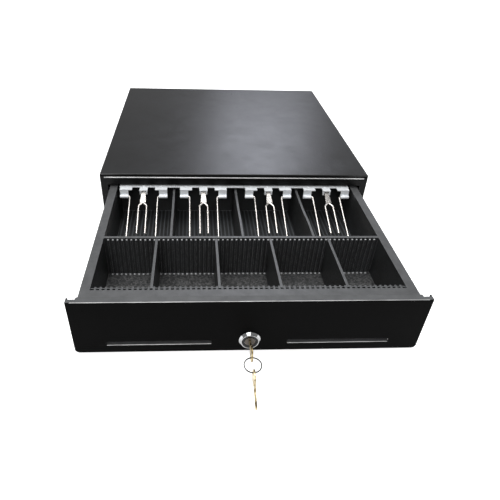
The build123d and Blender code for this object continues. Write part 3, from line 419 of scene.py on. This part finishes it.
def circle(cx, cy, radius, count, start=0.0, turn=2 * math.pi):
    """Points on a circle, or on the part of it from start through turn."""
    angles = [start + turn * i / count for i in range(count)]
    return [(cx + radius * math.cos(angle), cy + radius * math.sin(angle)) for angle in angles]


def key_mesh(blade):
    """A key with its ring hole at the origin and its blade along +X, flat in the XY plane."""
    shoulder = HOLE_OUT + BOW_R + NECK
    half = BLADE_H / 2
    gap = math.asin((half + 1 * MM) / BOW_R)
    edge = circle(HOLE_OUT, 0, BOW_R, 56, gap, 2 * math.pi - 2 * gap)
    edge += [(shoulder, -half - 1 * MM), (shoulder, -half)]
    edge += [(shoulder + blade - 2.2 * MM, -half), (shoulder + blade, -0.9 * MM)]
    cuts = (0.2, 1.6, 0.9, 2.1, 0.6, 1.3)
    step = (blade - 3.5 * MM) / len(cuts)
    edge.append((shoulder + blade - 0.6 * MM, half - 2.4 * MM))
    for i, depth in enumerate(reversed(cuts)):
        at = shoulder + blade - 2.6 * MM - step * i
        edge += [(at, half - 0.2 * MM), (at - step * 0.35, half - depth * MM)]
        edge.append((at - step * 0.65, half - depth * MM))
    edge += [(shoulder + 0.5 * MM, half), (shoulder, half), (shoulder, half + 1 * MM)]
    plate = outline_plate([edge, circle(0, 0, HOLE_R, 28)], 0.8 * MM, 0.22 * MM)
    parts = [(plate, Matrix.Identity(4))]
    for side in (-1, 1):
        lift = Matrix.Translation((0, 0, side * 0.62 * MM))
        rim = circle(HOLE_OUT, 0, BOW_R - 0.9 * MM, 56)
        parts.append((tube([(x, y, 0) for x, y in rim], 0.38 * MM, True), lift))
        inner = circle(HOLE_OUT + 2.2 * MM, 0, 3.7 * MM, 40)
        parts.append((tube([(x, y, 0) for x, y in inner], 0.3 * MM, True), lift))
        for y, radius in ((-1.9 * MM, 0.42 * MM), (0.2 * MM, 0.36 * MM)):
            line = [(shoulder - 1.5 * MM, y, 0), (shoulder + blade - 1.6 * MM, y, 0)]
            parts.append((tube(line, radius), lift))
    return joined(parts)


def key_piece(name, body, node, pivot, slope, blade):
    """Stands a key in the plane x = 0 with its ring hole on the pivot and its blade at this slope."""
    along = Vector((0, math.cos(slope), math.sin(slope)))
    out = Vector((1, 0, 0))
    across = out.cross(along)
    turn = Matrix((along, across, out)).transposed().to_4x4()
    mesh = key_mesh(blade)
    mesh.transform(Matrix.Translation(pivot) @ turn)
    piece = made(name, mesh, MATERIALS["brass"], body)
    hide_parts(node)


BLADE_L = 20.0 * MM
KEY_LENGTH = HOLE_OUT + BOW_R + NECK + BLADE_L
LEAN = math.asin((SECOND_PIVOT.z - BLADE_H / 2 - 0.35 * MM) / KEY_LENGTH)
key_piece("key_in_lock", "key", "key", KEY_PIVOT, 0.0, BLADE_L)
key_piece("key_spare", "second_key", "second_key", SECOND_PIVOT, math.pi + LEAN, BLADE_L)

# ---- Split ring: two turns of fine wire lying against each other.
ring_along = (SECOND_PIVOT - KEY_PIVOT).normalized()
ring_centre = (SECOND_PIVOT + KEY_PIVOT) / 2
ring_radius = (SECOND_PIVOT - KEY_PIVOT).length / 2
ring_up = Vector((1, 0, 0)).cross(ring_along)
coil = []
TURNS, STEPS = 2.1, 150
for i in range(STEPS + 1):
    angle = 2 * math.pi * TURNS * i / STEPS + 1.0
    height = (i / STEPS - 0.5) * 1.1 * MM
    spoke = ring_along * math.cos(angle) + Vector((1, 0, 0)) * math.sin(angle)
    coil.append(ring_centre + spoke * ring_radius + ring_up * height)
ring = made("split_ring", tube(coil, 0.62 * MM), MATERIALS["dark_steel"], "key_ring")
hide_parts("key_ring")

# ---- Latch spring: a coiled torsion spring.
spring_low, spring_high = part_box("latch_spring")
spring_mid = (spring_low + spring_high) / 2
loops = []
for i in range(161):
    angle = 2 * math.pi * 4.25 * i / 160
    height = spring_low.z + 0.6 * MM + (spring_high.z - spring_low.z - 1.2 * MM) * i / 160
    spoke = Vector((math.cos(angle), math.sin(angle), 0)) * 5.1 * MM
    loops.append(Vector((spring_mid.x, spring_mid.y, height)) + spoke)
torsion = made("torsion_spring", tube(loops, 0.5 * MM), MATERIALS["screw"], "case")
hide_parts("latch_spring")

# ---- Ejector spring: a coil along Y.
EJECTOR_TRAVEL, EJECTOR_TURNS, EJECTOR_WIRE = 12.0 * MM, 11, 0.6 * MM
COIL_STEPS = 24
coil_low, coil_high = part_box("ejector_spring")
coil_mid = (coil_low + coil_high) / 2
coil_radius = (coil_high.x - coil_low.x) / 2 - EJECTOR_WIRE
coil_length = coil_high.y - coil_low.y
loops = []
for i in range(EJECTOR_TURNS * COIL_STEPS + 1):
    angle = 2 * math.pi * i / COIL_STEPS
    along = coil_low.y + EJECTOR_WIRE + (coil_length - 2 * EJECTOR_WIRE) * i / (EJECTOR_TURNS * COIL_STEPS)
    x = coil_mid.x + coil_radius * math.cos(angle)
    z = coil_mid.z + coil_radius * math.sin(angle)
    loops.append(Vector((x, along, z)))
ejector = made("ejector_coil", tube(loops, EJECTOR_WIRE), MATERIALS["screw"], "case")
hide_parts("ejector_spring")
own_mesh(ejector)


# ---- Rib heads: the small rounded tops of the ribs on the coin side of the partition.
def dome(radius, height, segments=12, rings=4):
    """A low dome on the XY plane, centred at the origin."""
    mesh = bmesh.new()
    rows = []
    for ring_index in range(rings):
        angle = math.pi / 2 * ring_index / rings
        rows.append([
            mesh.verts.new((
                radius * math.cos(angle) * math.cos(2 * math.pi * k / segments),
                radius * math.cos(angle) * math.sin(2 * math.pi * k / segments),
                height * math.sin(angle),
            ))
            for k in range(segments)
        ])
    top = mesh.verts.new((0, 0, height))
    for low, high in zip(rows, rows[1:]):
        for k in range(segments):
            mesh.faces.new((low[k], low[(k + 1) % segments], high[(k + 1) % segments], high[k]))
    for k in range(segments):
        mesh.faces.new((rows[-1][k], rows[-1][(k + 1) % segments], top))
    result = bpy.data.meshes.new("dome")
    mesh.to_mesh(result)
    mesh.free()
    return result


RIB_COUNT = 60
rib_top = TRAY_HIGH.z - 2.5 * MM
rib_head = dome(1.15 * MM, 0.9 * MM)
heads = []
for i in range(RIB_COUNT):
    x = (i - (RIB_COUNT - 1) / 2) * RIB_PITCH
    heads.append((rib_head, Matrix.Translation((x, DIVIDER_HIGH.y - 0.5 * MM, rib_top))))
# The rib heads and feet are pale grey: a painted highlight where they catch the light.
RIB_HIGHLIGHT = moulded("abs_painted_highlight", 0.52, 0.36, 1500.0, 0.02)
made("rib_heads", joined(heads), RIB_HIGHLIGHT, "tray")
rib_foot = dome(1.4 * MM, 1.3 * MM)
to_floor = Matrix.Translation((0, -1.2 * MM, TRAY_FLOOR - rib_top))
feet = [(rib_foot, matrix @ to_floor) for _, matrix in heads]
made("rib_feet", joined(feet), RIB_HIGHLIGHT, "tray")

# ---- Rivet heads along the clip rail, one over the root of each bracket.
rivet = dome(1.7 * MM, 0.7 * MM, 16, 5)
rivets = []
CLIP_CENTRES, BRACKET_OFFSETS = (-138.0, -49.0, 49.0, 138.0), (-26.0, 0.0, 26.0)
for centre in CLIP_CENTRES:
    for offset in BRACKET_OFFSETS:
        place = ((centre + offset) * MM, RAIL_HIGH.y - 27.0 * MM, RAIL_HIGH.z)
        rivets.append((rivet, Matrix.Translation(place)))
made("rail_rivets", joined(rivets), MATERIALS["zinc"], "tray")

# ---- Rolled bead along the front frame, just under the cover, in a pale metal that paints a highlight line along it.
# A pale, half-metal finish that paints highlight lines along beads, lips and folds.
HIGHLIGHT_EDGE = plated("painted_highlight_edge", 0.60, 0.38, 0.01 * MM, 0.0, 0.2, metal=0.5)
frame_low, frame_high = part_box("front_frame")
bead_y, bead_z = frame_low.y - 0.1 * MM, frame_high.z - 1.9 * MM
bead = tube([(x * MM, bead_y, bead_z) for x in range(-196, 197, 14)], 0.9 * MM)
made("frame_bead", bead, HIGHLIGHT_EDGE, "case")

# ---- Rolled lips round the two media slots.
SLOT_IN, SLOT_OUT, SLOT_MID, SLOT_R = 43.0 * MM, 164.0 * MM, 18.0 * MM, 2.5 * MM
for name, side in (("slot_lip_left", -1), ("slot_lip_right", 1)):
    points = []
    for centre, start in ((SLOT_OUT - SLOT_R, -90), (SLOT_IN + SLOT_R, 90)):
        for i in range(13):
            angle = math.radians(start + 180 * i / 12)
            x = centre + (SLOT_R + 0.1 * MM) * math.cos(angle)
            z = SLOT_MID + (SLOT_R + 0.1 * MM) * math.sin(angle)
            points.append(Vector((side * x, PANEL_LOW.y + 0.1 * MM, z)))
    made(name, tube(points, 0.42 * MM, True), MATERIALS["drawer_paint"], "drawer")
    # A pale strip along each slot's lower lip: a painted highlight.
    low = [p for p in points if p.z < SLOT_MID - SLOT_R * 0.8]
    low.sort(key=lambda p: p.x)
    proud = Vector((0, -0.3, 0.2)) * MM
    strip = tube([low[0] + proud, low[-1] + proud], 0.4 * MM)
    made(name + "_edge", strip, HIGHLIGHT_EDGE, "drawer")


# ---- Pale line along the fold at the top of the drawer front: a painted highlight.
fold_y, fold_z = PANEL_LOW.y + 0.3 * MM, PANEL_HIGH.z - 0.3 * MM
fold = tube([(x * MM, fold_y, fold_z) for x in range(-195, 196, 13)], 0.36 * MM)
made("front_fold", fold, HIGHLIGHT_EDGE, "drawer")


# ---- Lock face: a dished ring round the plug, near black as a painted dark reflection, inside a bright raised rim; the plug is darkened as painted shade.
def turned(profile, centre, steps=56):
    """A surface of revolution about the Y axis through centre, from (radius, y) points."""
    mesh = bmesh.new()
    rows = []
    for radius, y in profile:
        rows.append([
            mesh.verts.new((
                centre.x + radius * math.cos(2 * math.pi * k / steps),
                centre.y + y,
                centre.z + radius * math.sin(2 * math.pi * k / steps),
            ))
            for k in range(steps)
        ])
    for inner, outer in zip(rows, rows[1:]):
        for k in range(steps):
            mesh.faces.new((inner[k], inner[(k + 1) % steps], outer[(k + 1) % steps], outer[k]))
    result = bpy.data.meshes.new("turned")
    mesh.to_mesh(result)
    mesh.free()
    return result


LOCK_LOW, LOCK_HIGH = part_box("lock_body")
lock_mid = Vector(((LOCK_LOW.x + LOCK_HIGH.x) / 2, LOCK_LOW.y, (LOCK_LOW.z + LOCK_HIGH.z) / 2))
# The dish is near-black chrome: a painted dark reflection.
dish_painted_reflection = plated("dish_painted_reflection", 0.03, 0.16, 0.006 * MM, 0.02, 0.2)
DISH_PROFILE = ((6.2, 0.0), (6.3, -0.15), (8.0, -0.3), (9.7, -0.8), (10.1, -0.4))
dish = turned([(radius * MM, y * MM) for radius, y in DISH_PROFILE], lock_mid)
made("bezel_dish", dish, dish_painted_reflection, "drawer")
crest = [lock_mid + Vector((10.0 * math.cos(a), -0.35, 10.0 * math.sin(a))) * MM
         for a in (2 * math.pi * k / 56 for k in range(56))]
made("bezel_rim", tube(crest, 0.6 * MM, True), MATERIALS["chrome"], "drawer")
# The plug is coloured near black: painted shade in its recess.
finish_node("lock_plug", plated("plug_nickel_painted_shade", 0.09, 0.24, 0.01 * MM, -0.12, 0.2))

# ---- Stage: pale floor, soft lights and the camera.
def lit(name, place, aim, size, power, colour=(1.0, 1.0, 1.0)):
    """A soft rectangular light at a place, turned to its aim."""
    light = bpy.data.lights.new(name, "AREA")
    light.shape = "RECTANGLE"
    light.size, light.size_y = size
    light.energy = power
    light.color = colour
    holder = bpy.data.objects.new(name, light)
    holder.location = place
    direction = Vector(aim) - Vector(place)
    holder.rotation_euler = direction.to_track_quat("-Z", "Y").to_euler()
    bpy.context.scene.collection.objects.link(holder)


floor_mesh = bpy.data.meshes.new("floor")
FLOOR = 7.0
corners = [(-FLOOR, -FLOOR, 0), (FLOOR, -FLOOR, 0), (FLOOR, FLOOR, 0), (-FLOOR, FLOOR, 0)]
floor_mesh.from_pydata(corners, [], [(0, 1, 2, 3)])
floor = bpy.data.objects.new("floor", floor_mesh)
bpy.context.scene.collection.objects.link(floor)
floor_surface = Surface("floor_white", Roughness=0.9, Specular_IOR_Level=0.1)
floor_surface.shader.inputs["Base Color"].default_value = (0.92, 0.92, 0.92, 1.0)
floor_surface.shader.inputs["Emission Color"].default_value = (1.0, 1.0, 1.0, 1.0)
floor_surface.shader.inputs["Emission Strength"].default_value = 0.75
floor_mesh.materials.append(floor_surface.material)

# A pale backdrop that only the camera sees, so it adds no light of its own.
dome_mesh = bpy.data.meshes.new("backdrop")
dome_bm = bmesh.new()
bmesh.ops.create_icosphere(dome_bm, subdivisions=4, radius=FLOOR * 0.95)
dome_bm.to_mesh(dome_mesh)
dome_bm.free()
backdrop = bpy.data.objects.new("backdrop", dome_mesh)
bpy.context.scene.collection.objects.link(backdrop)
backdrop_surface = Surface("backdrop_white", Roughness=1.0, Specular_IOR_Level=0.0)
backdrop_surface.shader.inputs["Base Color"].default_value = (0.0, 0.0, 0.0, 1.0)
backdrop_surface.shader.inputs["Emission Color"].default_value = (1.0, 1.0, 1.0, 1.0)
backdrop_surface.shader.inputs["Emission Strength"].default_value = 1.0
dome_mesh.materials.append(backdrop_surface.material)
backdrop.visible_diffuse = False
backdrop.visible_glossy = False
backdrop.visible_transmission = False
backdrop.visible_shadow = False

world = bpy.data.worlds.new("studio")
world.use_nodes = True
world.node_tree.nodes["Background"].inputs[0].default_value = (1.0, 1.0, 1.0, 1.0)
world.node_tree.nodes["Background"].inputs[1].default_value = 0.27
bpy.context.scene.world = world

lit("overhead", (-0.2, 0.0, 1.9), (0, 0, 0.05), (1.4, 1.4), 30.0)
lit("behind", (0.33, 2.0, 1.60), (0, 0.1, 0.1), (0.6, 1.6), 12.5, (0.93, 0.96, 1.08))
lit("front", (-0.3, -2.3, 1.7), (0, -0.1, 0.05), (1.2, 1.0), 22.0)
lit("left", (-1.7, -0.9, 1.1), (0, -0.1, 0.05), (0.9, 0.9), 5.0)

CAMERA_AT = Vector((-63.0, -668.7, 409.8)) * MM
LENS_PX, FRAME_PX = 462.3, 500.0
TILT, YAW, ROLL = math.radians(37.64), math.radians(4.04), math.radians(2.18)
forward = Vector((math.sin(YAW) * math.cos(TILT), math.cos(YAW) * math.cos(TILT), -math.sin(TILT)))
level_right = Vector((math.cos(YAW), -math.sin(YAW), 0))
level_up = level_right.cross(forward)
right = math.cos(ROLL) * level_right + math.sin(ROLL) * level_up
up = -math.sin(ROLL) * level_right + math.cos(ROLL) * level_up
camera_data = bpy.data.cameras.new("camera")
camera_data.sensor_width = 36.0
camera_data.lens = LENS_PX / FRAME_PX * camera_data.sensor_width
camera_data.shift_x = 29.7 / FRAME_PX
camera_data.shift_y = 19.1 / FRAME_PX
camera_data.clip_start = 0.01
camera = bpy.data.objects.new("camera", camera_data)
aim = Matrix((right, up, -forward)).transposed().to_4x4()
camera.matrix_world = Matrix.Translation(CAMERA_AT) @ aim
bpy.context.scene.collection.objects.link(camera)
bpy.context.scene.camera = camera
bpy.context.scene.view_settings.view_transform = "Standard"
